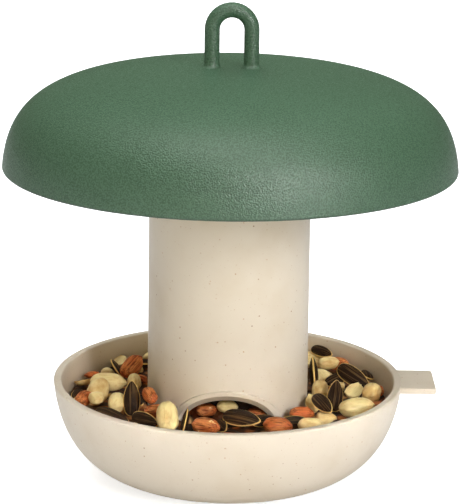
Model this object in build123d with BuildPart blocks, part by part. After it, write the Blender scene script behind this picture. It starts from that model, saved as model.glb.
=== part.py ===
# A hanging bird feeder: a domed roof on a seed tube that stands in a round feeding bowl.
# Millimetres. The origin is the middle of the bowl's foot and +Z is up.
# -Y is the front, where the feeding arch is seen, and +X is the side with the grip tab.

import os
from math import cos, radians, sin

from build123d import *

os.makedirs("parts", exist_ok=True)

# Roof dome, as a quarter section from the crown out to the rim
roof_radius = 110.0
roof_rim_height = 153.9
roof_crown_height = 202.0
roof_wall = 3.0
roof_crown_reach = 77.1
roof_side_rise = 40.1
roof_side_lean = 3.15
roof_inner_crown_share = 0.97
roof_inner_side_share = 0.94
roof_rim_rounding = 1.0

# Hanging loop on the crown
loop_rod_radius = 3.65
loop_leg_spacing = 18.9
loop_top_height = 233.4
loop_foot_fillet = 2.2
loop_root_depth = 2.0

# Seed tube, with a little draft outside and a straight land inside at each end
tube_foot_height = 4.3
tube_top_height = 197.3
tube_foot_radius = 39.85
tube_top_radius = 38.95
tube_foot_bore = 36.8
tube_top_bore = 36.1
tube_foot_land = 20.0
tube_top_land = 172.0

# Feeding arch, drawn as seen from the front: half an ellipse on two straight sides
arch_half_width = 22.3
arch_top_height = 47.2
arch_rise = 17.0
arch_edge_bevel = 2.9
arch_lip_width = 5.2
arch_lip_radius = 40.45
arch_lip_rounding = 0.5

# Feeding bowl, as a section from the rim down to the foot
bowl_rim_radius = 86.2
bowl_height = 47.0
bowl_wall = 4.0
bowl_foot_radius = 42.6
bowl_side_drop = 39.0
bowl_side_lean = 3.6
bowl_foot_sweep = 17.3
bowl_inner_side_share = 0.88
bowl_rim_rounding = 0.9
bowl_foot_recess_radius = 36.0
bowl_foot_recess_depth = 1.2
drain_hole_radius = 2.0
drain_hole_count = 6
drain_circle_radius = 22.0

# Grip tab on the bowl's rim
tab_reach = 102.4
tab_root = 83.6
tab_width = 29.2
tab_thickness = 2.9
tab_below_rim = 0.5
tab_corner_radius = 1.6
tab_edge_rounding = 0.5

# Twist locks: lugs on a spigot turn in hooked slots through the tube's wall
lug_sides = (0, 180)
lug_angle = 22.0
lug_height = 5.0
lug_inset = 0.4
spigot_clearance = 0.35
spigot_wall = 2.8
slot_gap = 0.4
slot_gap_angle = 0.6
roof_twist = 30.0
roof_lug_height = 183.0
roof_spigot_bottom = 176.0
bowl_twist = 28.0
bowl_lug_height = 9.0
bowl_spigot_top = 17.0
bowl_spigot_angle = 96.0

# Loose seed, level in the bowl and filled part of the way up the tube
seed_level_at_tube = 34.5
seed_level_at_wall = 32.0
seed_gap = 0.6
seed_column_top = 120.0


def turned_section(angle):
    """The upright plane through the axis, turned by an angle from +X."""
    along = (cos(radians(angle)), sin(radians(angle)), 0)
    across = (sin(radians(angle)), -cos(radians(angle)), 0)
    return Plane(origin=(0, 0, 0), x_dir=along, z_dir=across)


def ring_sector(inner, outer, low, high, start, arc, mode=Mode.ADD):
    """A piece of a flat-topped ring, from a start angle on through an arc."""
    with BuildSketch(turned_section(start)) as section:
        with Locations(((inner + outer) / 2, (low + high) / 2)):
            Rectangle(outer - inner, high - low)
    revolve(section.sketch, axis=Axis.Z, revolution_arc=arc, mode=mode)


def hooked_slot(side, turn, low, mouth):
    """Cuts a slot that runs round the tube's wall from a lug's place and then out to its end."""
    inner = tube_top_bore - 2
    outer = tube_foot_radius + 2
    slot_low = low - slot_gap
    slot_high = low + lug_height + slot_gap
    slot_arc = lug_angle + 2 * slot_gap_angle
    first = side - slot_arc / 2
    run_start = min(first, first + turn)
    ring_sector(inner, outer, slot_low, slot_high, run_start, slot_arc + abs(turn), Mode.SUBTRACT)
    mouth_low = min(slot_low, mouth)
    mouth_high = max(slot_high, mouth)
    ring_sector(inner, outer, mouth_low, mouth_high, first + turn, slot_arc, Mode.SUBTRACT)


def arch_outline(margin):
    """The arch's outline on the front plane, grown evenly by a margin."""
    half_width = arch_half_width + margin
    rise = arch_rise + margin
    spring = arch_top_height - arch_rise
    with BuildLine() as outline:
        Line((-half_width, 0), (half_width, 0))
        Line((half_width, 0), (half_width, spring))
        EllipticalCenterArc((0, spring), half_width, rise, start_angle=0, arc_size=180)
        Line((-half_width, spring), (-half_width, 0))
    make_face(outline.edges())


def middle_radius(edge):
    """How far the middle of an edge is from the feeder's axis."""
    middle = edge @ 0.5
    return (middle.X**2 + middle.Y**2) ** 0.5


# Roof: a revolved shell with the loop on top and the lock's spigot inside
roof_crown = (0, roof_crown_height)
roof_crown_handle = (roof_crown_reach, roof_crown_height)
roof_side_handle = (roof_radius - roof_side_lean, roof_rim_height + roof_side_rise)
roof_rim = (roof_radius, roof_rim_height)
roof_inner_rim = (roof_radius - roof_wall, roof_rim_height)
roof_inner_side = (
    roof_inner_rim[0] - roof_side_lean * roof_inner_side_share,
    roof_rim_height + roof_side_rise * roof_inner_side_share,
)
roof_inner_crown = (0, roof_crown_height - roof_wall)
roof_inner_crown_handle = (roof_crown_reach * roof_inner_crown_share, roof_inner_crown[1])
loop_bend_radius = loop_leg_spacing / 2
loop_bend_height = loop_top_height - loop_rod_radius - loop_bend_radius
roof_spigot_radius = tube_top_bore - spigot_clearance

with BuildPart() as roof:
    with BuildSketch(Plane.YZ):
        with BuildLine():
            Bezier(roof_crown, roof_crown_handle, roof_side_handle, roof_rim)
            Line(roof_rim, roof_inner_rim)
            Bezier(roof_inner_rim, roof_inner_side, roof_inner_crown_handle, roof_inner_crown)
            Line(roof_inner_crown, roof_crown)
        make_face()
    revolve(axis=Axis.Z)
    rim_edges = roof.edges().filter_by(GeomType.CIRCLE).group_by(Axis.Z)[0]
    fillet(rim_edges, radius=roof_rim_rounding)
    with BuildLine(Plane.XZ) as loop_line:
        loop_root = roof_crown_height - loop_root_depth
        Line((-loop_bend_radius, loop_root), (-loop_bend_radius, loop_bend_height))
        CenterArc((0, loop_bend_height), loop_bend_radius, 180, -180)
        Line((loop_bend_radius, loop_bend_height), (loop_bend_radius, loop_root))
    with BuildSketch(Plane(origin=(-loop_bend_radius, 0, loop_root), z_dir=(0, 0, 1))):
        Circle(loop_rod_radius)
    sweep(path=loop_line.line)
    foot_edges = (
        roof.edges()
        .filter_by_position(Axis.Z, roof_crown_height - 1, roof_crown_height + 1)
        .filter_by(lambda edge: edge.length < 4 * loop_leg_spacing)
    )
    fillet(foot_edges, radius=loop_foot_fillet)
    ring_sector(
        roof_spigot_radius - spigot_wall,
        roof_spigot_radius,
        roof_spigot_bottom,
        roof_crown_height - roof_wall,
        0,
        360,
    )
    for lug_side in lug_sides:
        ring_sector(
            roof_spigot_radius - spigot_wall / 2,
            tube_top_radius - lug_inset,
            roof_lug_height,
            roof_lug_height + lug_height,
            lug_side - lug_angle / 2,
            lug_angle,
        )
roof.part.label = "roof"
export_step(roof.part, "parts/roof.step")

# Raised lip round one feeding arch, moulded on the tube's wall
with BuildPart() as arch_lip:
    with BuildSketch(Plane.XZ):
        arch_outline(arch_lip_width)
    extrude(amount=2 * tube_foot_radius)
    with BuildSketch(Plane.XY):
        Circle(arch_lip_radius)
        Circle(tube_top_bore + 1, mode=Mode.SUBTRACT)
    extrude(amount=tube_top_height, mode=Mode.INTERSECT)
    lip_edges = arch_lip.edges().filter_by_position(Axis.Z, tube_foot_height, tube_top_height)
    lip_outer_edges = lip_edges.filter_by(lambda edge: middle_radius(edge) > arch_lip_radius - 0.1)
    fillet(lip_outer_edges, radius=arch_lip_rounding)

# Seed tube: a revolved wall with two lipped arches and two hooked slots at each end
with BuildPart() as seed_tube:
    with BuildSketch(Plane.XZ):
        with BuildLine():
            Polyline(
                (tube_foot_bore, tube_foot_height),
                (tube_foot_radius, tube_foot_height),
                (tube_top_radius, tube_top_height),
                (tube_top_bore, tube_top_height),
                (tube_top_bore, tube_top_land),
                (tube_foot_bore, tube_foot_land),
                close=True,
            )
        make_face()
    revolve(axis=Axis.Z)
    add(arch_lip.part)
    add(arch_lip.part.rotate(Axis.Z, 180))
    with BuildSketch(Plane.XY):
        Circle(arch_lip_radius + 1)
    extrude(amount=tube_foot_height, mode=Mode.SUBTRACT)
    with BuildSketch(Plane.XZ):
        arch_outline(0)
    extrude(amount=2 * tube_foot_radius, both=True, mode=Mode.SUBTRACT)
    arch_edges = seed_tube.edges().filter_by(
        lambda edge: middle_radius(edge) > arch_lip_radius - 0.05
        and abs((edge @ 0.5).X) < arch_half_width + 0.1
        and tube_foot_height + 1 < (edge @ 0.5).Z < arch_top_height + 0.1
    )
    chamfer(arch_edges, length=arch_edge_bevel)
    for lug_side in lug_sides:
        hooked_slot(lug_side, roof_twist, roof_lug_height, tube_top_height + 1)
        hooked_slot(lug_side, -bowl_twist, bowl_lug_height, tube_foot_height - 1)
seed_tube.part.label = "seed_tube"
export_step(seed_tube.part, "parts/seed_tube.step")

# Bowl: a revolved wall with a foot ring, drain holes, the grip tab and the lock's split spigot
bowl_rim = (bowl_rim_radius, bowl_height)
bowl_side_handle = (bowl_rim_radius - bowl_side_lean, bowl_height - bowl_side_drop)
bowl_foot_handle = (bowl_foot_radius + bowl_foot_sweep, 0)
bowl_foot = (bowl_foot_radius, 0)
bowl_inner_rim = (bowl_rim_radius - bowl_wall, bowl_height)
bowl_inner_side = (
    bowl_inner_rim[0] - bowl_side_lean * bowl_inner_side_share,
    bowl_height - bowl_side_drop * bowl_inner_side_share,
)
bowl_floor_handle = (bowl_foot_radius + bowl_foot_sweep, bowl_wall)
bowl_floor_edge = (bowl_foot_radius, bowl_wall)
bowl_spigot_radius = tube_foot_bore - spigot_clearance

# Grip tab: a flat tongue that grows out of the bowl's rim
with BuildPart() as grip_tab:
    with BuildSketch(Plane.XY.offset(bowl_height - tab_below_rim - tab_thickness)) as tab_outline:
        with Locations(((tab_root + tab_reach) / 2, 0)):
            Rectangle(tab_reach - tab_root, tab_width)
        fillet(tab_outline.vertices().group_by(Axis.X)[-1], radius=tab_corner_radius)
    extrude(amount=tab_thickness)
    tab_flats = grip_tab.faces().filter_by(Axis.Z)
    fillet(tab_flats.edges().filter_by_position(Axis.X, tab_root + 1, tab_reach), radius=tab_edge_rounding)

with BuildPart() as bowl:
    with BuildSketch(Plane.XZ):
        with BuildLine():
            Bezier(bowl_rim, bowl_side_handle, bowl_foot_handle, bowl_foot)
            Polyline(
                bowl_foot,
                (bowl_foot_recess_radius, 0),
                (bowl_foot_recess_radius, bowl_foot_recess_depth),
                (0, bowl_foot_recess_depth),
                (0, bowl_wall),
                bowl_floor_edge,
            )
            Bezier(bowl_floor_edge, bowl_floor_handle, bowl_inner_side, bowl_inner_rim)
            Line(bowl_inner_rim, bowl_rim)
        make_face()
    revolve(axis=Axis.Z)
    rim_edges = bowl.edges().filter_by(GeomType.CIRCLE).group_by(Axis.Z)[-1]
    fillet(rim_edges, radius=bowl_rim_rounding)
    add(grip_tab.part)
    for lug_side in lug_sides:
        ring_sector(
            bowl_spigot_radius - spigot_wall,
            bowl_spigot_radius,
            bowl_wall / 2,
            bowl_spigot_top,
            lug_side - bowl_spigot_angle / 2,
            bowl_spigot_angle,
        )
        ring_sector(
            bowl_spigot_radius - spigot_wall / 2,
            tube_foot_radius - lug_inset,
            bowl_lug_height,
            bowl_lug_height + lug_height,
            lug_side - lug_angle / 2,
            lug_angle,
        )
    with BuildSketch(Plane.XY):
        with PolarLocations(drain_circle_radius, drain_hole_count):
            Circle(drain_hole_radius)
    extrude(amount=bowl_wall, mode=Mode.SUBTRACT)
bowl.part.label = "bowl"
export_step(bowl.part, "parts/bowl.step")

# Seed round the tube: the bowl's hollow drawn in by a gap, up to the seed's sloping level
seed_inner_radius = arch_lip_radius + seed_gap
seed_floor = bowl_wall + seed_gap

with BuildPart() as seed_bed:
    with BuildSketch(Plane.XZ):
        with BuildLine():
            Bezier(
                (bowl_floor_edge[0], seed_floor),
                (bowl_floor_handle[0], seed_floor),
                (bowl_inner_side[0] - seed_gap, bowl_inner_side[1]),
                (bowl_inner_rim[0] - seed_gap, bowl_height),
            )
            Polyline(
                (bowl_inner_rim[0] - seed_gap, bowl_height),
                (seed_inner_radius, bowl_height),
                (seed_inner_radius, seed_floor),
                (bowl_floor_edge[0], seed_floor),
            )
        make_face()
        with BuildLine():
            Polyline(
                (0, 0),
                (0, seed_level_at_tube),
                (seed_inner_radius, seed_level_at_tube),
                (bowl_rim_radius, seed_level_at_wall),
                (bowl_rim_radius, 0),
                close=True,
            )
        make_face(mode=Mode.INTERSECT)
    revolve(axis=Axis.Z)
seed_bed.part.label = "seed_bed"
export_step(seed_bed.part, "parts/seed_bed.step")

# Seed inside the tube, drawn in at its foot by the bowl's spigot
with BuildPart() as seed_column:
    with BuildSketch(Plane.XZ):
        spigot_bore = bowl_spigot_radius - spigot_wall
        with BuildLine():
            Polyline(
                (0, bowl_wall),
                (spigot_bore - seed_gap, bowl_wall),
                (spigot_bore - seed_gap, bowl_spigot_top + seed_gap),
                (tube_top_bore - seed_gap, bowl_spigot_top + seed_gap),
                (tube_top_bore - seed_gap, seed_column_top),
                (0, seed_column_top),
                close=True,
            )
        make_face()
    revolve(axis=Axis.Z)
seed_column.part.label = "seed_column"
export_step(seed_column.part, "parts/seed_column.step")
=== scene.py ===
from math import cos, hypot, pi, radians, sin

import bmesh
import bpy
import numpy as np
from bpy.props import FloatProperty, FloatVectorProperty, IntProperty, PointerProperty
from mathutils import Euler, Matrix, Vector


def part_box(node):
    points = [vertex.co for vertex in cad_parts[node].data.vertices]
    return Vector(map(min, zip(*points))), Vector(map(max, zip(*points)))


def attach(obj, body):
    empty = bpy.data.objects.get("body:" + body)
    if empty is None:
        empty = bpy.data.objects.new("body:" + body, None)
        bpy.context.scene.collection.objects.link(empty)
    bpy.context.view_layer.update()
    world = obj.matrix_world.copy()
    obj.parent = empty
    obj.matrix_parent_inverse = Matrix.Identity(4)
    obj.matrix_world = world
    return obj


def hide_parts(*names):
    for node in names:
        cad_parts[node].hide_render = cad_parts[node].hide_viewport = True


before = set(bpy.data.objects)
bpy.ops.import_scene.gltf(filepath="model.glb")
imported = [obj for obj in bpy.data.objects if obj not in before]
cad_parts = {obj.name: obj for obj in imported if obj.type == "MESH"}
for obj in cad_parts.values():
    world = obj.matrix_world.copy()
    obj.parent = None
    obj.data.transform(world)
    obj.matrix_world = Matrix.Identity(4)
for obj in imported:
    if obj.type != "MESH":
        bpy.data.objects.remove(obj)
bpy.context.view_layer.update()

bl_info = {
    "name": "Bird Feeder",
    "version": (1, 0, 0),
    "blender": (4, 5, 0),
    "location": "View3D > Sidebar > Feeder",
    "description": "Finishes a hanging bird feeder, fills it with seed and sets it in a studio",
    "category": "Object",
}

MM = 0.001
WHITE = (1.0, 1.0, 1.0)

# Room for the seed, as radii about the tube's axis
TUBE_CLEAR = 41.1 * MM  # outside the tube
TUBE_BORE = 35.9 * MM  # inside the tube
MOUTH_DEPTH = 24 * MM  # as far in as an arch shows the seed
BOWL_INSIDE = 82.2 * MM  # at the bowl's rim

# Turns about the tube's axis, in degrees from the middle of an arch
ARCH_FREE = (-3, 31)  # the part of the opening that stays free while the bowl is twisted
MOUTH_TURN = 38  # how far to each side the arch shows the seed in the tube

# Kernels laid one by one where they are seen. Each row gives the kind, x and y in millimetres,
# heading, lean and roll in degrees, and the scale
LAID_LEFT = (
    ("long", -60, 9, -6, 0, 0, 1.04),
    ("nut", -64, -6, 78, 12, 0, 1.16),
    ("nut", -54, -21, 86, 5, 0, 0.95),
    ("skin", -70, -20, 70, 0, 0, 0.8),
    ("bit", -63, -24, 40, 0, 0, 1.0),
    ("sunflower", -55, -36, -38, -8, 10, 1.12),
    ("skin_bit", -41, -30, 20, 0, 0, 0.6),
    ("skin", -34, -33, 10, 0, 0, 0.8),
    ("sunflower", -39, -44, -38, 0, 76, 0.92),
    ("nut", -47, 12, 95, 15, 0, 0.76),
    ("sunflower", -46.5, -24, 92, 62, 0, 0.96),
    ("skin", -37.5, -31, 115, 15, 0, 0.72),
    ("sunflower", -20, -47, 78, 38, -70, 0.75),
    ("nut", -28.5, -51, 95, 32, 0, 1.16),
    ("bit", -62, 38, 90, 0, 0, 0.8),
    ("sunflower", -57, 36, 120, 25, 40, 0.75),
    ("skin", -49, 32, 55, 25, 0, 1.0),
)
LAID_FRONT = (
    ("skin", -10, -28, 15, 0, 0, 0.7),
    ("nut", 0, -28, 0, 0, 0, 0.68),
    ("skin", 14, -28, -10, 0, 0, 0.6),
    ("bit", 9, -36, 0, 0, 0, 0.6),
    ("sunflower", -2.5, -48, -72, 0, 50, 0.72),
    ("skin", -10, -53, -20, 0, 0, 0.9),
    ("sunflower", 7, -48, -26, 0, 38, 1.08),
    ("half", 8, -38, -8, 0, 130, 0.7),
    ("sunflower", 18, -40, 18, 0, 50, 0.75),
    ("skin", 24, -51, -12, 0, 0, 0.92),
)
LAID_RIGHT = (
    ("sunflower", 33, -43, 10, 0, 60, 0.82),
    ("nut", 40, -49, -10, 0, 0, 0.85),
    ("skin", 36, -33, 5, 0, 0, 0.8),
    ("bit", 48, -34, 10, 0, 0, 1.2),
    ("bit", 57, -38, 20, 0, 0, 0.8),
    ("half", 41.5, -19, 95, 30, 0, 0.8),
    ("long", 63, -24, 22, 0, 0, 1.05),
    ("skin", 76, 10, 90, 0, 0, 0.55),
    ("nut", 71.5, -1, 75, 0, 0, 1.02),
    ("half", 63, 5, 60, 10, 20, 0.9),
    ("nut", 46, 1, 88, 10, 0, 0.92),
    ("sunflower", 46, -32, -60, -15, 30, 0.88),
    ("sunflower", 53, -12, 80, 45, 20, 0.95),
    ("sunflower", 43.5, 21, 95, 48, 85, 0.95),
    ("bit", 48.5, 31, 120, 20, 0, 1.15),
    ("sunflower", 56, 25, 28, 14, 32, 0.82),
    ("sunflower", 71, 31, 100, 0, 20, 0.75),
    ("sunflower", 64, 22, -30, -25, 50, 1.08),
    ("skin", 57, 49, -15, 0, 0, 0.78),
    ("nut", 52, 42, 20, 0, 0, 0.75),
    ("long", 45, 60, -5, 0, 0, 0.72),
    ("sunflower", 49, 56, -40, -5, 40, 0.74),
)

# Lamps: name, place, aim and size in metres, spread of the beam in degrees, and whether gloss
# shows the lamp
LAMPS = (
    ("key", (0.78, -1.24, 0.78), (0, 0, 0.15), (0.3, 0.6), 45, True),
    ("overhead", (0, -0.45, 1.7), (0, 0, 0.12), (1.25, 0.95), 180, True),
    ("fill", (-0.16, -1.5, 0.33), (0, 0, 0.14), (1.2, 0.5), 40, False),
    ("bowl", (0.14, -0.89, 1.04), (0, -0.053, 0.043), (0.25, 0.025), 3, True),
    ("side", (0.95, -0.6, 0.05), (0, 0, 0.045), (0.5, 0.1), 9, True),
    ("back", (-0.3, 0.75, 1.7), (0, 0, 0.12), (2.4, 2.0), 180, False),
)


def colour(red, green, blue):
    """A colour as read off a screen, from 0 to 255, made linear."""
    shares = [part / 255 for part in (red, green, blue)]
    return tuple(s / 12.92 if s <= 0.04045 else ((s + 0.055) / 1.055) ** 2.4 for s in shares)


def colour_property(name, description, default):
    """A linear colour in the panel."""
    return FloatVectorProperty(
        name=name, description=description, subtype="COLOR", size=3, min=0, max=1, default=default
    )


def length_property(name, description, default):
    """A length in metres in the panel."""
    return FloatProperty(
        name=name, description=description, subtype="DISTANCE", unit="LENGTH",
        min=0, precision=4, default=default,
    )


def power_property(name, description, default):
    """A lamp's power in watts in the panel."""
    return FloatProperty(
        name=name, description=description, subtype="POWER", unit="POWER", default=default
    )


class FeederPlastic(bpy.types.PropertyGroup):
    """Finishes of the three mouldings"""

    roof_colour: colour_property("Roof", "Green of the roof", colour(76, 108, 86))
    roof_deep: colour_property(
        "Roof, deep", "Green in the hollows of the roof's grain", colour(54, 84, 62)
    )
    # Painted shade along the roof's lower edge
    roof_edge_shade: colour_property(
        "Roof, edge", "Darker green along the roof's lower edge", colour(36, 58, 42)
    )
    grain_size: length_property("Grain", "Size of one bump of the roof's moulded grain", 0.68 * MM)
    cream_colour: colour_property("Cream", "Cream of the tube and the bowl", colour(227, 216, 199))
    cream_cloud: colour_property(
        "Cream, clouded", "Faint darker clouds in the cream", colour(221, 208, 188)
    )
    speck_colour: colour_property("Speck", "Fibre specks in the cream", colour(146, 102, 62))
    speck_tan: colour_property(
        "Speck, tan", "Paler fibre specks in the cream", colour(200, 154, 102)
    )
    # Painted shade: warm brown shade on the bowl's inner wall
    bowl_shade_colour: colour_property(
        "Bowl shade", "Warm brown painted shade on the bowl's inner wall", colour(176, 138, 86)
    )
    speck_spacing: length_property(
        "Speck spacing", "Mean distance of specks in the plastic", 3.8 * MM
    )


class FeederSeed(bpy.types.PropertyGroup):
    """Sizes and colours of the loose seed"""

    peanut_length: length_property("Peanut length", "Length of a whole peanut kernel", 16.0 * MM)
    peanut_width: length_property("Peanut width", "Width of a whole peanut kernel", 10.4 * MM)
    sunflower_length: length_property("Sunflower length", "Length of a sunflower seed", 18.5 * MM)
    sunflower_width: length_property("Sunflower width", "Width of a sunflower seed", 8.5 * MM)
    sunflower_depth: length_property("Sunflower depth", "Thickness of a sunflower seed", 4.6 * MM)
    bed_at_tube: length_property(
        "Bed at the tube", "Height of the deep seed beside the tube", 35.5 * MM
    )
    bed_at_wall: length_property(
        "Bed at the wall", "Height of the deep seed beside the bowl's wall", 34.0 * MM
    )
    mouth_floor: length_property(
        "Seed in the arch", "Height of the deep seed in the arches", 32.0 * MM
    )
    blanched_colour: colour_property("Blanched", "Peanut without its skin", colour(255, 231, 166))
    blanched_tan: colour_property(
        "Blanched, tan", "Toasted patches on a blanched peanut", colour(220, 172, 100)
    )
    skin_colour: colour_property("Skin", "Papery peanut skin", colour(204, 106, 48))
    skin_pale: colour_property(
        "Skin, pale", "Paler, drier patches of the peanut skin", colour(230, 148, 84)
    )
    skin_vein: colour_property("Skin, veins", "Veins in the peanut skin", colour(118, 50, 22))
    # Also the painted shade in the gaps between the deep seed's grains
    husk_and_gap_shade_colour: colour_property("Husk", "Dark ground of a sunflower husk", colour(38, 22, 11))
    husk_stripe: colour_property(
        "Husk stripes", "Brown stripes of a sunflower husk", colour(106, 80, 50)
    )
    husk_edge: colour_property(
        "Husk edges", "Pale seam along a sunflower husk", colour(255, 212, 130)
    )
    deep_colour: colour_property(
        "Deep seed", "Seed in the shade under the top layer", colour(112, 74, 42)
    )
    shuffle: IntProperty(
        name="Shuffle", description="Start of the order in which seed is poured", default=12
    )


class FeederStudio(bpy.types.PropertyGroup):
    """Camera, lamps and floor"""

    camera_place: FloatVectorProperty(
        name="Camera", description="Place of the camera", subtype="TRANSLATION", unit="LENGTH",
        size=3, default=(0.00036, -1.01995, 0.38687),
    )
    camera_drop: FloatProperty(
        name="Drop", description="Angle that the camera looks down", subtype="ANGLE",
        default=radians(15.149),
    )
    camera_roll: FloatProperty(
        name="Roll", description="Turn of the camera about its own line of sight",
        subtype="ANGLE", default=radians(0.736),
    )
    lens: FloatProperty(
        name="Lens", description="Focal length in millimetres", unit="CAMERA", default=154.44
    )
    key_power: power_property("Key", "Power of the lamp in front on the right", 1.01)
    overhead_power: power_property("Overhead", "Power of the lamp above and in front", 10.0)
    fill_power: power_property("Fill", "Power of the low lamp in front", 0.61)
    bowl_power: power_property("Bowl", "Power of the narrow lamp into the bowl", 0.017)
    side_power: power_property("Side", "Power of the low lamp on the right", 0.013)
    back_power: power_property("Back", "Power of the wide lamp above and behind", 36.0)
    ambient: FloatProperty(
        name="Ambient", description="Strength of the light from all sides", min=0, default=0.14
    )
    warm_colour: colour_property(
        "Warm white", "Colour of the fill and of the light from all sides", colour(255, 240, 206)
    )
    floor_width: length_property("Floor width", "Width of the floor", 9.0)
    floor_colour: colour_property("Floor", "Pale floor", colour(232, 235, 241))
    floor_glow: FloatProperty(
        name="Floor glow", description="White that the floor shows besides the light on it",
        subtype="FACTOR", min=0, max=1, default=0.72,
    )


class Value:
    """A shader socket that takes part in Python sums."""

    def __init__(self, finish, socket):
        self.finish = finish
        self.socket = socket

    def sum_with(self, operation, first, second):
        return self.finish.node("ShaderNodeMath", {"operation": operation}, {0: first, 1: second})

    def __add__(self, other):
        return self.sum_with("ADD", self, other)

    def __radd__(self, other):
        return self.sum_with("ADD", other, self)

    def __sub__(self, other):
        return self.sum_with("SUBTRACT", self, other)

    def __rsub__(self, other):
        return self.sum_with("SUBTRACT", other, self)

    def __mul__(self, other):
        return self.sum_with("MULTIPLY", self, other)

    def __rmul__(self, other):
        return self.sum_with("MULTIPLY", other, self)

    def __abs__(self):
        return self.finish.node("ShaderNodeMath", {"operation": "ABSOLUTE"}, {0: self})


class Finish:
    """A material, or the world, while its nodes are being put together."""

    def __init__(self, owner):
        self.owner = owner
        owner.use_nodes = True
        self.tree = owner.node_tree
        self.tree.nodes.clear()

    def node(self, kind, settings=None, sockets=None, output=0):
        """Adds a node, makes its settings, fills or links its sockets and gives one output."""
        made = self.tree.nodes.new(kind)
        for name, setting in (settings or {}).items():
            if name == "stops":
                ramp = made.color_ramp.elements
                while len(ramp) < len(setting):
                    ramp.new(1.0)
                for stop, (place, shade) in zip(ramp, setting):
                    stop.position = place
                    stop.color = (*shade, 1.0)
            else:
                setattr(made, name, setting)
        for name, given in (sockets or {}).items():
            socket = made.inputs[name]
            if isinstance(given, Value):
                self.tree.links.new(given.socket, socket)
            elif socket.type == "RGBA":
                socket.default_value = (*given, 1.0)
            else:
                socket.default_value = given
        return Value(self, made.outputs[output]) if made.outputs else None

    def object_place(self):
        """The place on the piece, in metres."""
        return self.node("ShaderNodeTexCoord", output="Object")

    def attribute(self, name, output):
        """A value that the mesh keeps at its points."""
        return self.node("ShaderNodeAttribute", {"attribute_name": name}, output=output)

    def z_of(self, place):
        """The height of a place."""
        return self.node("ShaderNodeSeparateXYZ", None, {0: place}, "Z")

    def length_of(self, place):
        """The distance of a place from the origin."""
        return self.node("ShaderNodeVectorMath", {"operation": "LENGTH"}, {0: place}, "Value")

    def stretched(self, place, scale):
        """Scales a place along its three axes."""
        return self.node("ShaderNodeVectorMath", {"operation": "MULTIPLY"}, {0: place, 1: scale})

    def noise(self, place, size, detail=2.0, roughness=0.5):
        """Soft noise with blots of about a size."""
        sockets = {"Vector": place, "Scale": 1 / size, "Detail": detail, "Roughness": roughness}
        return self.node("ShaderNodeTexNoise", None, sockets, "Fac")

    def cells(self, place, spacing):
        """Cells at chance places: the distance to a cell's middle, and the cell's chance colour."""
        sockets = {"Vector": place, "Scale": 1 / spacing}
        far = self.node("ShaderNodeTexVoronoi", None, sockets, "Distance")
        return far, self.node("ShaderNodeTexVoronoi", None, sockets, "Color")

    def chance(self, cell, channel):
        """One channel of a cell's chance colour."""
        return self.node("ShaderNodeSeparateColor", None, {0: cell}, channel)

    def step(self, value, low, high, start=0.0, end=1.0):
        """Goes smoothly from start to end while a value goes from low to high."""
        sockets = {
            "Value": value, "From Min": low, "From Max": high, "To Min": start, "To Max": end,
        }
        return self.node("ShaderNodeMapRange", {"interpolation_type": "SMOOTHSTEP"}, sockets)

    def mix(self, factor, first, second):
        """Goes from a first colour to a second one."""
        settings = {"data_type": "RGBA", "clamp_factor": True}
        return self.node("ShaderNodeMix", settings, {0: factor, 6: first, 7: second}, 2)

    def bump(self, height, strength, distance):
        """A normal that follows a height."""
        sockets = {"Height": height, "Strength": strength, "Distance": distance}
        return self.node("ShaderNodeBump", None, sockets)

    def close(self, **sockets):
        """Closes the material with the one shader that all solid pieces use."""
        named = {}
        for name, given in sockets.items():
            named[name.replace("_", " ").title().replace("Ior", "IOR")] = given
        shader = self.node("ShaderNodeBsdfPrincipled", None, named)
        self.node("ShaderNodeOutputMaterial", None, {"Surface": shader})
        return self.owner


class KernelFinish(Finish):
    """A kernel's material, whose patterns follow the kernel and differ from one to the next."""

    def __init__(self, name):
        super().__init__(bpy.data.materials.new(name))
        self.place = self.attribute("kernel_place", "Vector")
        self.tone = self.attribute("kernel_tone", "Fac")

    def pattern(self, scale, shift, detail, roughness=0.5, size=1.0):
        """Noise that is scaled along the kernel's axes and shifted by the kernel's own tone."""
        sockets = {0: self.stretched(self.place, scale), 1: self.tone * shift}
        place = self.node("ShaderNodeVectorMath", {"operation": "ADD"}, sockets)
        return self.noise(place, size, detail, roughness)


def roof_green(plastic):
    """Matte green plastic with a fine spark-eroded grain, and painted shade along its lower edge.
    """
    finish = Finish(bpy.data.materials.new("roof_green"))
    place = finish.object_place()
    low, high = 0.34, 0.66
    grain = finish.noise(place, plastic.grain_size, 0.5)
    cloud = finish.noise(place, 60 * plastic.grain_size)
    tone = finish.step(grain * 0.9 + cloud * 0.1, low, high)
    base = finish.mix(tone, plastic.roof_deep, plastic.roof_colour)
    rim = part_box("roof")[0][2]
    # Painted shade: the green darkens along the lower edge, where its rounding turns into shade
    edge = finish.step(finish.z_of(place), rim + 0.3 * MM, rim + 1.6 * MM, 0.55, 0.0)
    base = finish.mix(edge, base, plastic.roof_edge_shade)
    rough = finish.step(grain, low, high, 0.46, 0.32)
    normal = finish.bump(grain, 1.0, 0.48 * plastic.grain_size)
    # A low index with a strong tint keeps the front highlight and weakens the shine at
    # grazing angles
    gloss = {"ior": 1.15, "specular_tint": (14.0, 14.0, 14.0)}
    return finish.close(base_color=base, roughness=rough, normal=normal, **gloss)


def painted_bowl_shade(finish, place):
    """Share of painted shade on the bowl's inner wall, more of it lower down."""
    _, edge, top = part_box("bowl")[1]
    height = finish.z_of(place)
    out = finish.length_of(finish.stretched(place, (1.0, 1.0, 0.0)))
    inner_side = finish.step(out, edge - 4.4 * MM, edge - 4.0 * MM, 1.0, 0.0)
    clear_of_tube = finish.step(out, 42 * MM, 44 * MM)
    over_bed = finish.step(height, top - 15 * MM, top - 14 * MM)
    fading = finish.step(height, top - 12 * MM, top - 1 * MM, 0.34, 0.1)
    return inner_side * clear_of_tube * over_bed * fading


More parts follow.
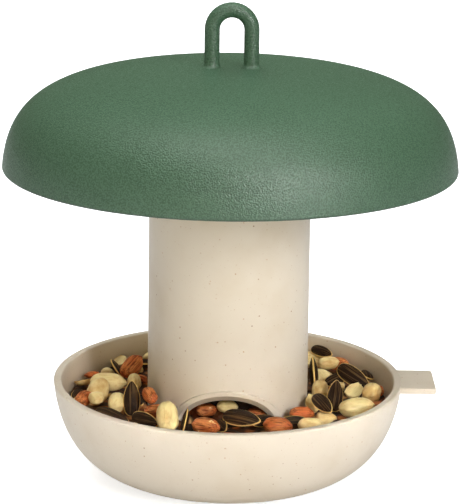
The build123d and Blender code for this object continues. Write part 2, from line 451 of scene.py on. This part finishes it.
def cream_speckled(plastic):
    """Satin cream plastic with sparse fibre specks and faint clouds, and painted shade on the
    bowl's inner wall.
    """
    finish = Finish(bpy.data.materials.new("cream_speckled"))
    place = finish.object_place()
    cloud = finish.step(finish.noise(place, 24 * MM, 3.0), 0.4, 0.75)
    base = finish.mix(cloud, plastic.cream_colour, plastic.cream_cloud)
    coarse = (plastic.speck_spacing, 0.133, 0.85)
    fine = (0.48 * plastic.speck_spacing, 0.15, 0.5)
    for spacing, reach, weight in (coarse, fine):
        far, cell = finish.cells(place, spacing)
        luck = finish.step(finish.chance(cell, "Red"), 0.1, 1.0)
        speck = finish.step(far, reach * 0.35, reach, weight, 0.0) * luck
        shade = finish.chance(cell, "Green")
        brown = finish.mix(shade, plastic.speck_colour, plastic.speck_tan)
        base = finish.mix(speck, base, brown)
    # Painted shade on the bowl's inner wall, warm brown and darker lower down
    base = finish.mix(painted_bowl_shade(finish, place), base, plastic.bowl_shade_colour)
    rough = finish.step(finish.noise(place, 3 * MM, 3.0), 0.3, 0.7, 0.36, 0.46)
    normal = finish.bump(finish.noise(place, 1.6 * MM), 0.06, 0.4 * MM)
    return finish.close(base_color=base, roughness=rough, normal=normal, ior=1.46)


def blanched_peanut(seed):
    """Peanut without its skin: waxy cream with toasted patches."""
    finish = KernelFinish("blanched_peanut")
    patch = finish.pattern((0.8, 1.0, 1.0), 37.0, 4.0, 0.6)
    toast = finish.step(patch + finish.tone * 0.2, 0.5, 0.9)
    base = finish.mix(toast, seed.blanched_colour, seed.blanched_tan)
    line = finish.pattern((1.2, 7.0, 7.0), 11.0, 3.0)
    base = finish.mix(finish.step(line, 0.5, 0.78, 0.0, 0.5), base, seed.blanched_tan)
    rough = finish.step(patch, 0.3, 0.7, 0.34, 0.5)
    normal = finish.bump(line, 0.5, 0.5 * MM)
    return finish.close(base_color=base, roughness=rough, normal=normal)


def skin_peanut(seed):
    """Peanut in its papery skin, with veins along it and a few bald flakes."""
    finish = KernelFinish("skin_peanut")
    vein = finish.pattern((1.0, 5.0, 5.0), 23.0, 4.0, 0.6)
    blotch = finish.pattern((0.7, 0.9, 0.9), 41.0, 3.0)
    base = finish.mix(finish.step(blotch, 0.4, 0.68), seed.skin_colour, seed.skin_pale)
    base = finish.mix(finish.step(vein, 0.44, 0.66, 0.0, 0.9), base, seed.skin_vein)
    flake = finish.pattern((1.0, 1.0, 1.0), 51.0, 3.0, size=1.4)
    bald = finish.step(flake + finish.tone * 0.12, 0.76, 0.79)
    base = finish.mix(bald, base, seed.blanched_colour)
    rough = finish.step(vein, 0.3, 0.7, 0.5, 0.66)
    normal = finish.bump(vein, 0.8, 0.6 * MM)
    return finish.close(base_color=base, roughness=rough, normal=normal, specular_ior_level=0.35)


def striped_husk(seed):
    """Sunflower husk: near black, with brown stripes along it and a pale seam round its edge."""
    finish = KernelFinish("striped_husk")
    stripe = finish.pattern((0.4, 5.5, 0.4), 29.0, 2.0)
    base = finish.mix(
        finish.step(stripe, 0.52, 0.66, 0.0, 0.8), seed.husk_and_gap_shade_colour, seed.husk_stripe
    )
    fibre = finish.pattern((1.2, 20.0, 9.0), 17.0, 3.0)
    base = finish.mix(finish.step(fibre, 0.55, 0.75, 0.0, 0.5), base, seed.husk_stripe)
    ragged = abs(finish.z_of(finish.place)) + (fibre - 0.5) * 0.16
    base = finish.mix(finish.step(ragged, 0.13, 0.27, 1.0, 0.0), base, seed.husk_edge)
    rough = finish.step(fibre, 0.3, 0.7, 0.45, 0.62)
    normal = finish.bump(fibre, 0.5, 0.4 * MM)
    return finish.close(base_color=base, roughness=rough, normal=normal, specular_ior_level=0.18)


def deep_seed(seed):
    """The seed below the top layer, in grains of the same colours in painted shade, darkest in the
    gaps between them.
    """
    finish = Finish(bpy.data.materials.new("deep_seed"))
    far, cell = finish.cells(finish.object_place(), 6.5 * MM)
    stops = (
        (0.0, seed.husk_and_gap_shade_colour),
        (0.3, seed.deep_colour),
        (0.6, seed.skin_colour),
        (1.0, seed.blanched_tan),
    )
    grain = finish.node("ShaderNodeValToRGB", {"stops": stops}, {0: finish.chance(cell, "Red")})
    # Painted shade: each grain darkens towards the husk colour at its edge, as in the shaded gaps
    # between kernels
    base = finish.mix(finish.step(far, 0.25, 0.6, 0.1, 0.9), grain, seed.husk_and_gap_shade_colour)
    normal = finish.bump(1 - far, 0.8, 3 * MM)
    return finish.close(base_color=base, roughness=0.65, normal=normal)


def give_finish(node, material):
    """Puts one material on a CAD node."""
    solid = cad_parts[node]
    for slot in solid.material_slots:
        slot.material = material
    if not solid.material_slots:
        solid.data.materials.append(material)


def edit_new(name):
    """Names the mesh that was just added and selects all its points in edit mode."""
    bpy.context.object.name = name
    bpy.ops.object.mode_set(mode="EDIT")
    bpy.ops.mesh.select_mode(type="VERT")
    bpy.ops.mesh.select_all(action="SELECT")


def pick(test):
    """Selects the vertices of the mesh in edit mode whose place passes a test."""
    bpy.ops.mesh.select_all(action="DESELECT")
    mesh = bmesh.from_edit_mesh(bpy.context.object.data)
    for vert in mesh.verts:
        vert.select_set(test(vert.co))
    mesh.select_flush_mode()
    bmesh.update_edit_mesh(bpy.context.object.data)


def scale_picked(value):
    """Scales the selected points about the origin."""
    bpy.ops.transform.resize(value=value, center_override=(0, 0, 0))


def move_picked(value):
    """Moves the selected points."""
    bpy.ops.transform.translate(value=value)


def join(pieces):
    """Joins pieces into the first of them."""
    bpy.ops.object.select_all(action="DESELECT")
    for piece in pieces:
        piece.select_set(True)
    bpy.context.view_layer.objects.active = pieces[0]
    bpy.ops.object.join()
    return pieces[0]


def start_ball(name, size, segments, rings):
    """Adds a ball whose poles lie along X, goes into edit mode and scales it to a size."""
    bpy.ops.object.select_all(action="DESELECT")
    bpy.ops.mesh.primitive_uv_sphere_add(
        segments=segments, ring_count=rings, radius=0.5, location=(0, 0, 0)
    )
    edit_new(name)
    bpy.ops.transform.rotate(value=pi / 2, orient_axis="Y", center_override=(0, 0, 0))
    scale_picked(size)


def end_kernel(size):
    """Leaves edit mode, smooths the kernel and notes each point's place on it."""
    bpy.ops.mesh.select_all(action="SELECT")
    bpy.ops.mesh.normals_make_consistent(inside=False)
    bpy.ops.object.mode_set(mode="OBJECT")
    kernel = bpy.context.object
    rounding = kernel.modifiers.new("rounding", "SUBSURF")
    rounding.levels = 1
    bpy.ops.object.modifier_apply(modifier=rounding.name)
    bpy.ops.object.shade_smooth_by_angle(angle=radians(50))
    mesh = kernel.data
    places = np.empty(3 * len(mesh.vertices))
    mesh.vertices.foreach_get("co", places)
    places = places.reshape(-1, 3) / (np.array(size) / 2)
    noted = mesh.attributes.new("kernel_place", "FLOAT_VECTOR", "POINT")
    noted.data.foreach_set("vector", places.ravel())
    mesh.attributes.new("kernel_tone", "FLOAT", "POINT")
    return kernel


def shape_rings(size, rings):
    """Scales a ball's rings in width and depth, each picked by its place, from tip 1 to end -1."""
    near = 0.04
    for place, wide, deep in rings:
        pick(lambda p: abs(2 * p.x / size[0] - place) < near)
        scale_picked((1, wide, deep))


def shape_peanut(size):
    """Gives a ball a peanut kernel's nose, blunt end, seam between its halves and small dents."""
    length, _, depth = size
    shape_rings(size, (
        (0.94, 0.86, 0.82), (0.77, 0.88, 0.86), (0.5, 0.95, 0.94),
        (-0.5, 1.06, 1.05), (-0.77, 1.12, 1.1), (-0.94, 1.2, 1.18),
    ))
    pick(lambda p: p.x > 0.49 * length)
    move_picked((0.05 * length, 0, -0.02 * depth))
    pick(lambda p: abs(p.z) < 0.02 * depth)
    scale_picked((1, 0.95, 1))
    bpy.ops.mesh.select_all(action="SELECT")
    bpy.ops.transform.vertex_random(offset=0.8 * MM, uniform=0.0, normal=1.0, seed=4)


def whole_peanut(seed, stretch):
    """A whole kernel, made longer by a stretch."""
    size = (stretch * seed.peanut_length, seed.peanut_width, 0.95 * seed.peanut_width)
    start_ball("peanut", size, segments=14, rings=9)
    shape_peanut(size)
    return end_kernel(size), size


def half_peanut(seed):
    """A peanut split along its seam, with the shallow hollow of its inner face."""
    size = (seed.peanut_length, seed.peanut_width, 0.95 * seed.peanut_width)
    length, width, depth = size
    start_ball("half_peanut", size, segments=14, rings=9)
    shape_peanut(size)
    bpy.ops.mesh.select_all(action="SELECT")
    bpy.ops.mesh.bisect(
        plane_co=(0, 0, -0.06 * depth), plane_no=(0, 0, 1), clear_outer=True, use_fill=True
    )
    bpy.ops.mesh.inset(thickness=0.16 * width)
    move_picked((0, 0, -0.12 * depth))
    bpy.ops.mesh.select_all(action="SELECT")
    move_picked((0, 0, 0.25 * depth))
    return end_kernel(size), (length, width, 0.55 * depth)


def broken_peanut(seed):
    """A bit of a peanut with two rough breaks."""
    size = (seed.peanut_length, seed.peanut_width, 0.9 * seed.peanut_width)
    length, width, depth = size
    start_ball("broken_peanut", size, segments=12, rings=8)
    shape_peanut(size)
    across = ((-0.1 * length, 0, 0), (-1, 0.25, 0.2))
    along = ((0, 0, -0.05 * depth), (0.2, 0.1, -1))
    for place, way in (across, along):
        bpy.ops.mesh.select_all(action="SELECT")
        bpy.ops.mesh.bisect(plane_co=place, plane_no=way, clear_outer=True, use_fill=True)
        bpy.ops.mesh.poke()
        bpy.ops.mesh.vertices_smooth(factor=0.4)
    bpy.ops.mesh.select_all(action="SELECT")
    move_picked((-0.2 * length, 0, -0.2 * depth))
    return end_kernel(size), (0.6 * length, 0.95 * width, 0.55 * depth)


def sunflower_seed(seed):
    """A flat shield with a narrow tip, a crisp seam all round it and a ridge along each face."""
    size = (seed.sunflower_length, seed.sunflower_width, seed.sunflower_depth)
    length, width, depth = size
    start_ball("sunflower_seed", size, segments=16, rings=9)
    shape_rings(size, (
        (0.94, 0.62, 0.7), (0.77, 0.74, 0.8), (0.5, 0.86, 0.92), (0.17, 0.96, 1.0),
        (-0.5, 1.08, 1.06), (-0.77, 1.22, 1.15), (-0.94, 1.45, 1.3),
    ))
    pick(lambda p: abs(p.y) < 0.02 * width and abs(p.x) < 0.4 * length)
    scale_picked((1, 1, 1.12))
    pick(lambda p: abs(p.z) < 0.02 * depth)
    scale_picked((1.02, 1.06, 1))
    bpy.ops.transform.edge_crease(value=0.7)
    return end_kernel(size), size


def bowl_inside():
    """The bowl's inner wall as radii and heights, from its floor to its rim."""
    points = np.array([(42.6, 4.0), (59.9, 4.0), (79.0, 12.7), (82.2, 47.0)]) * MM
    share = np.linspace(0, 1, 60)[:, None]
    curve = (
        (1 - share) ** 3 * points[0]
        + 3 * (1 - share) ** 2 * share * points[1]
        + 3 * (1 - share) * share**2 * points[2]
        + share**3 * points[3]
    )
    return curve[:, 0], curve[:, 1]


def turn_matrix(heading, lean, roll):
    """A kernel's turn: rolled about its length, leant up at its tip, then headed round Z."""
    turn = Euler((radians(roll), radians(-lean), radians(heading)), "XYZ")
    return np.array(turn.to_matrix())


class Heap:
    """The height of the seed over the bowl's floor plan, on which kernels come to rest."""

    cell = 0.6 * MM
    tall = 1.0  # stands where no kernel may lie
    wall_gap = 0.3 * MM
    sill_rise = 2.5 * MM  # of the seed under the arch, over the seed in the tube
    mouth_slope = 0.45  # of the seed in the tube, up towards its axis

    def __init__(self, seed):
        count = int((BOWL_INSIDE + seed.sunflower_length) / self.cell)
        self.line = np.arange(-count, count + 1) * self.cell
        x, y = np.meshgrid(self.line, self.line, indexing="ij")
        radius = np.hypot(x, y)
        turn = np.degrees(np.arctan2(np.abs(x) * np.sign(-x * y), np.abs(y)))
        share = np.clip((radius - TUBE_CLEAR) / (BOWL_INSIDE - TUBE_CLEAR), 0, 1)
        level = seed.bed_at_tube + (seed.bed_at_wall - seed.bed_at_tube) * share
        level = np.maximum(level, np.interp(radius, *bowl_inside()))
        level[radius > BOWL_INSIDE - self.wall_gap] = self.tall
        in_tube = radius < TUBE_CLEAR
        free = (turn > ARCH_FREE[0]) & (turn < ARCH_FREE[1])
        sill = in_tube & (radius > TUBE_BORE) & free
        mouth = (radius < TUBE_BORE) & (radius > MOUTH_DEPTH) & (np.abs(turn) < MOUTH_TURN)
        level[in_tube] = self.tall
        level[sill] = seed.mouth_floor + self.sill_rise
        level[mouth] = (seed.mouth_floor + self.mouth_slope * (TUBE_BORE - radius))[mouth]
        self.level = level

    def shell(self, size, turned):
        """The cells under a turned kernel, with its lower and upper side over them."""
        form = turned @ np.diag([4 / side**2 for side in size]) @ turned.T
        span = int(max(size) / 2 / self.cell) + 1
        line = np.arange(-span, span + 1) * self.cell
        x, y = np.meshgrid(line, line, indexing="ij")
        slope = form[0, 2] * x + form[1, 2] * y
        rest = form[0, 0] * x**2 + 2 * form[0, 1] * x * y + form[1, 1] * y**2 - 1
        inner = slope**2 - form[2, 2] * rest
        covered = inner > 0
        root = np.sqrt(np.where(covered, inner, 0))
        return span, covered, (-slope - root) / form[2, 2], (-slope + root) / form[2, 2]

    def window(self, x, y, span):
        """The cells round a place, or None where they reach past the plan."""
        row = int(round((x - self.line[0]) / self.cell))
        column = int(round((y - self.line[0]) / self.cell))
        if min(row, column) < span or max(row, column) + span >= len(self.line):
            return None
        return slice(row - span, row + span + 1), slice(column - span, column + span + 1)

    def rest(self, size, x, y, heading, lean, roll):
        """The height at which a kernel would come to rest, or None where it can't lie."""
        span, covered, low, _ = self.shell(size, turn_matrix(heading, lean, roll))
        window = self.window(x, y, span)
        if window is None:
            return None
        height = np.max(np.where(covered, self.level[window] - low, -1))
        return height if height < 0.5 * self.tall else None

    def lay(self, size, x, y, heading, lean, roll, height):
        """Raises the heap by a kernel that has come to rest at a height."""
        span, covered, _, high = self.shell(size, turn_matrix(heading, lean, roll))
        window = self.window(x, y, span)
        raised = np.maximum(self.level[window], height + high)
        self.level[window] = np.where(covered, raised, self.level[window])


class FEEDER_OT_roof(bpy.types.Operator):
    """Finish the roof in grained green plastic"""

    bl_idname = "feeder.roof"
    bl_label = "Roof"

    def execute(self, context):
        give_finish("roof", roof_green(context.scene.feeder_plastic))
        return {"FINISHED"}


class FEEDER_OT_tube_and_bowl(bpy.types.Operator):
    """Finish the seed tube and the bowl in speckled cream plastic"""

    bl_idname = "feeder.tube_and_bowl"
    bl_label = "Tube and Bowl"

    def execute(self, context):
        cream = cream_speckled(context.scene.feeder_plastic)
        give_finish("seed_tube", cream)
        give_finish("bowl", cream)
        return {"FINISHED"}


def ring_up(radius, height):
    """Extrudes the selected ring of points to a new radius and height."""
    mesh = bmesh.from_edit_mesh(bpy.context.object.data)
    first = next(vert.co.copy() for vert in mesh.verts if vert.select)
    share = radius / hypot(first.x, first.y)
    bpy.ops.mesh.extrude_region_move(TRANSFORM_OT_translate={"value": (0, 0, height - first.z)})
    scale_picked((share, share, 1))


def turned_piece(name, profile, segments):
    """A ring-shaped piece: a circle that is extruded from ring to ring and closed on itself."""
    bpy.ops.object.select_all(action="DESELECT")
    radius, height = profile[0]
    bpy.ops.mesh.primitive_circle_add(vertices=segments, radius=radius, location=(0, 0, 0))
    edit_new(name)
    move_picked((0, 0, height))
    for radius, height in (*profile[1:], profile[0]):
        ring_up(radius, height)
    bpy.ops.mesh.select_all(action="SELECT")
    bpy.ops.mesh.remove_doubles(threshold=0.01 * MM)
    bpy.ops.mesh.normals_make_consistent(inside=False)
    return bpy.context.object


class FEEDER_OT_deep_seed(bpy.types.Operator):
    """Fill the bowl and the tube with the seed that lies below the top layer"""

    bl_idname = "feeder.deep_seed"
    bl_label = "Deep Seed"

    def execute(self, context):
        seed = context.scene.feeder_seed
        bed = join([self.bed(seed), self.column()])
        bed.data.materials.append(deep_seed(seed))
        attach(bed, "bowl")
        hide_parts("seed_bed", "seed_column")
        return {"FINISHED"}

    def bed(self, seed):
        """The seed between the tube and the bowl's wall."""
        gap = 0.6 * MM
        floor = 4.6 * MM
        steps = 18
        wall_radius, wall_height = bowl_inside()
        profile = [(TUBE_CLEAR, floor), (43 * MM, floor)]
        for height in (11 * MM, 15 * MM, 19 * MM, 23 * MM):
            profile.append((np.interp(height, wall_height, wall_radius) - gap, height))
        outer = np.interp(seed.bed_at_wall, wall_height, wall_radius) - gap
        for step in range(steps + 1):
            share = step / steps
            profile.append((
                outer + (TUBE_CLEAR - outer) * share,
                seed.bed_at_wall + (seed.bed_at_tube - seed.bed_at_wall) * share,
            ))
        bed = turned_piece("deep_seed", profile, segments=120)
        bpy.ops.object.mode_set(mode="OBJECT")
        self.roughen(bed)
        return bed

    def column(self):
        """The seed in the tube, with a hollow behind each arch for single kernels."""
        core = 1 * MM
        foot = 32.4 * MM
        bore = 35.2 * MM
        hollow = {31: 0.93, 34: 0.82, 37: 0.74, 40: 0.68, 43: 0.64, 46: 0.62, 49: 0.7, 53: 0.88}
        profile = [(core, 5 * MM), (foot, 5 * MM), (foot, 17.4 * MM)]
        profile += [(bore, height * MM) for height in (18, 24, 28, *hollow, 60, 75, 95, 112, 118)]
        profile += [(20 * MM, 120 * MM), (core, 121 * MM)]
        column = turned_piece("seed_in_tube", profile, segments=60)
        for height, share in hollow.items():
            pick(lambda p: abs(p.z - height * MM) < 0.5 * MM and abs(p.x) < 0.72 * abs(p.y))
            scale_picked((1, share, 1))
        bpy.ops.object.mode_set(mode="OBJECT")
        return column

    def roughen(self, piece):
        """Gives the deep seed's open side the lumps of single kernels."""
        low, wide = 26 * MM, 76 * MM
        lumps = bpy.data.textures.new("lumps", "VORONOI")
        lumps.noise_scale = 7 * MM
        lumps.distance_metric = "DISTANCE"
        group = piece.vertex_groups.new(name="open_side")
        points = piece.data.vertices
        raised = [p.index for p in points if p.co.z > low and p.co.xy.length < wide]
        group.add(raised, 1.0, "REPLACE")
        lift = piece.modifiers.new("lumps", "DISPLACE")
        lift.texture = lumps
        lift.texture_coords = "LOCAL"
        lift.direction = "Z"
        lift.strength = -2.2 * MM
        lift.mid_level = 0.2
        lift.vertex_group = group.name
        bpy.context.view_layer.objects.active = piece
        bpy.ops.object.modifier_apply(modifier=lift.name)
        bpy.ops.object.shade_smooth_by_angle(angle=radians(60))


class SeedPour:
    """The kernels, and the heap that they are laid on one after the other."""

    pieces = ("blanched_peanuts", "skin_peanuts", "sunflower_seeds")
    tries = 14
    smallest = 0.75
    pour_reach = 79  # radius in millimetres
    most_lean = 25
    most_roll = 30

    def __init__(self, seed):
        self.kernels = self.model_kernels(seed)
        self.heap = Heap(seed)
        self.laid = {piece: [] for piece in self.pieces}
        self.luck = np.random.default_rng(seed.shuffle)

    def model_kernels(self, seed):
        """Each kind of kernel: its object, its size and the piece that its copies go into."""
        nut = whole_peanut(seed, 1.0)
        long = whole_peanut(seed, 1.14)
        half = half_peanut(seed)
        bit = broken_peanut(seed)
        husk = sunflower_seed(seed)
        blanched, skin, striped = self.pieces
        return {
            "nut": (*nut, blanched),
            "long": (*long, blanched),
            "half": (*half, blanched),
            "bit": (*bit, blanched),
            "skin": (*nut, skin),
            "skin_bit": (*bit, skin),
            "sunflower": (*husk, striped),
        }

    def place(self, kind, x, y, heading, lean, roll, scale):
        """Lets one kernel come to rest and keeps a copy of it there."""
        kernel, size, piece = self.kernels[kind]
        size = [scale * side for side in size]
        height = self.heap.rest(size, x, y, heading, lean, roll)
        if height is None:
            raise RuntimeError(f"{kind} at {x}, {y} has no room")
        self.heap.lay(size, x, y, heading, lean, roll, height)
        turn = Matrix(turn_matrix(heading, lean, roll)).to_4x4()
        mesh = kernel.data.copy()
        mesh.transform(Matrix.Translation((x, y, height)) @ turn @ Matrix.Scale(scale, 4))
        tones = np.full(len(mesh.vertices), self.luck.random())
        mesh.attributes["kernel_tone"].data.foreach_set("value", tones)
        copy = bpy.data.objects.new(piece, mesh)
        bpy.context.collection.objects.link(copy)
        self.laid[piece].append(copy)

    def pour(self, count, kinds, first, last, full):
        """Lays kernels at chance places between two turns about Z in degrees, up to a height.

        Each goes to the lowest of a few places that are tried.
        """
        nearest, furthest = (TUBE_CLEAR / MM) ** 2, self.pour_reach**2
        for number in range(count):
            kind = kinds[number % len(kinds)]
            scale = self.luck.uniform(self.smallest, 1.0)
            size = [scale * side for side in self.kernels[kind][1]]
            best = None
            for _ in range(self.tries):
                turn = radians(self.luck.uniform(first, last))
                radius = self.luck.uniform(nearest, furthest) ** 0.5 * MM
                x, y = radius * cos(turn), radius * sin(turn)
                heading = self.luck.uniform(0, 360)
                lean = self.luck.uniform(-self.most_lean, self.most_lean)
                roll = self.luck.uniform(-self.most_roll, self.most_roll)
                height = self.heap.rest(size, x, y, heading, lean, roll)
                if height is not None and height < full and (best is None or height < best[0]):
                    best = (height, x, y, heading, lean, roll)
            if best:
                self.place(kind, *best[1:], scale)

    def gather(self, piece, material):
        """Joins the copies of one kind of kernel into a piece that rides on the bowl."""
        joined = join(self.laid[piece])
        joined.name = piece
        joined.data.materials.append(material)
        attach(joined, "bowl")
        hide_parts("seed_bed")

    def clear_kernels(self):
        """Removes the kernels that the copies were made from."""
        for kernel in {kernel for kernel, _, _ in self.kernels.values()}:
            bpy.data.objects.remove(kernel)


class FEEDER_OT_top_seed(bpy.types.Operator):
    """Lay peanuts and sunflower seed on the deep seed, kernel by kernel"""

    bl_idname = "feeder.top_seed"
    bl_label = "Top Seed"

    def execute(self, context):
        seed = context.scene.feeder_seed
        mix = SeedPour(seed)
        for kind, x, y, *turn_and_scale in LAID_LEFT + LAID_FRONT + LAID_RIGHT:
            mix.place(kind, x * MM, y * MM, *turn_and_scale)
        behind = ("sunflower", "nut", "sunflower", "skin", "half", "bit", "sunflower", "long")
        around = ("sunflower", "bit", "sunflower", "half", "sunflower", "skin_bit")
        mix.pour(110, behind, first=60, last=115, full=41 * MM)
        mix.pour(320, around, first=115, last=420, full=37.8 * MM)
        for piece, finish in zip(mix.pieces, (blanched_peanut, skin_peanut, striped_husk)):
            mix.gather(piece, finish(seed))
        mix.clear_kernels()
        return {"FINISHED"}


class FEEDER_OT_stage(bpy.types.Operator):
    """Set the floor, the soft lamps, the white surround and the camera"""

    bl_idname = "feeder.stage"
    bl_label = "Stage"

    gloss_share = 0.03
    sensor_width = 36
    glow_near, glow_far = 0.4, 1.4

    def execute(self, context):
        studio = context.scene.feeder_studio
        context.scene.view_settings.view_transform = "Standard"
        self.floor(studio)
        self.surround(context, studio)
        for name, *setting in LAMPS:
            self.lamp(name, getattr(studio, f"{name}_power"), *setting)
        bpy.data.lights["fill"].color = studio.warm_colour
        self.camera(context, studio)
        return {"FINISHED"}

    def seen(self, finish):
        """1 where the floor or the surround is seen straight or through glass, less in gloss."""
        straight, gloss, through = (
            finish.node("ShaderNodeLightPath", output=ray)
            for ray in ("Is Camera Ray", "Is Glossy Ray", "Is Transmission Ray")
        )
        return straight + gloss * self.gloss_share + through

    def floor(self, studio):
        """A pale floor that shows white where it is seen, and keeps the feeder's shadow."""
        bpy.ops.object.select_all(action="DESELECT")
        bpy.ops.mesh.primitive_grid_add(
            x_subdivisions=4, y_subdivisions=4, size=studio.floor_width
        )
        floor = bpy.context.object
        floor.name = "floor"
        finish = Finish(bpy.data.materials.new("pale_floor"))
        matte = finish.node("ShaderNodeBsdfDiffuse", None, {"Color": studio.floor_colour})
        white = finish.node("ShaderNodeEmission", None, {"Color": WHITE, "Strength": 1.0})
        away = finish.length_of(finish.object_place())
        share = finish.step(away, self.glow_near, self.glow_far, studio.floor_glow, 1.0)
        glow = finish.node("ShaderNodeMixShader", None, {0: self.seen(finish) * share, 2: white})
        lit = finish.node("ShaderNodeAddShader", None, {0: matte, 1: glow})
        finish.node("ShaderNodeOutputMaterial", None, {"Surface": lit})
        floor.data.materials.append(finish.owner)

    def surround(self, context, studio):
        """A weak warm light from all sides, which is seen as white."""
        world = bpy.data.worlds.new("surround")
        context.scene.world = world
        finish = Finish(world)
        warm = {"Color": studio.warm_colour, "Strength": studio.ambient}
        light = finish.node("ShaderNodeBackground", None, warm)
        white = finish.node("ShaderNodeBackground", None, {"Color": WHITE, "Strength": 1.0})
        mixed = finish.node("ShaderNodeMixShader", None, {0: self.seen(finish), 1: light, 2: white})
        finish.node("ShaderNodeOutputWorld", None, {"Surface": mixed})

    def lamp(self, name, power, place, aim, size, spread, in_gloss):
        """A soft lamp that points at a place, with its beam held to a spread in degrees."""
        data = bpy.data.lights.new(name, "AREA")
        data.shape = "RECTANGLE"
        data.energy = power
        data.size, data.size_y = size
        data.spread = radians(spread)
        lamp = bpy.data.objects.new(name, data)
        lamp.location = place
        way = Vector(aim) - lamp.location
        lamp.rotation_euler = way.to_track_quat("-Z", "Y").to_euler()
        lamp.visible_camera = False
        lamp.visible_glossy = in_gloss
        bpy.context.collection.objects.link(lamp)

    def camera(self, context, studio):
        """The camera at the photograph's viewing angle."""
        data = bpy.data.cameras.new("camera")
        data.lens = studio.lens
        data.sensor_width = self.sensor_width
        camera = bpy.data.objects.new("camera", data)
        tip = Matrix.Rotation(pi / 2 - studio.camera_drop, 4, "X")
        roll = Matrix.Rotation(studio.camera_roll, 4, "Z")
        camera.matrix_world = Matrix.Translation(studio.camera_place) @ tip @ roll
        context.collection.objects.link(camera)
        context.scene.camera = camera


class FEEDER_PT_panel(bpy.types.Panel):
    """The feeder's steps, in their order"""

    bl_label = "Bird Feeder"
    bl_idname = "FEEDER_PT_panel"
    bl_space_type = "VIEW_3D"
    bl_region_type = "UI"
    bl_category = "Feeder"

    def draw(self, context):
        for step in STEPS:
            self.layout.operator(step.bl_idname)
        for group, owner in GROUPS.items():
            box = self.layout.box()
            box.label(text=group.__doc__)
            for name in group.__annotations__:
                box.prop(getattr(context.scene, owner), name)


STEPS = (
    FEEDER_OT_roof,
    FEEDER_OT_tube_and_bowl,
    FEEDER_OT_deep_seed,
    FEEDER_OT_top_seed,
    FEEDER_OT_stage,
)
GROUPS = {
    FeederPlastic: "feeder_plastic",
    FeederSeed: "feeder_seed",
    FeederStudio: "feeder_studio",
}


def register():
    for item in (*GROUPS, *STEPS, FEEDER_PT_panel):
        bpy.utils.register_class(item)
    for group, name in GROUPS.items():
        setattr(bpy.types.Scene, name, PointerProperty(type=group))


def unregister():
    for name in GROUPS.values():
        delattr(bpy.types.Scene, name)
    for item in reversed((*GROUPS, *STEPS, FEEDER_PT_panel)):
        bpy.utils.unregister_class(item)


def main():
    register()
    bpy.ops.feeder.roof()
    bpy.ops.feeder.tube_and_bowl()
    bpy.ops.feeder.deep_seed()
    bpy.ops.feeder.top_seed()
    bpy.ops.feeder.stage()


if __name__ == "__main__":
    main()
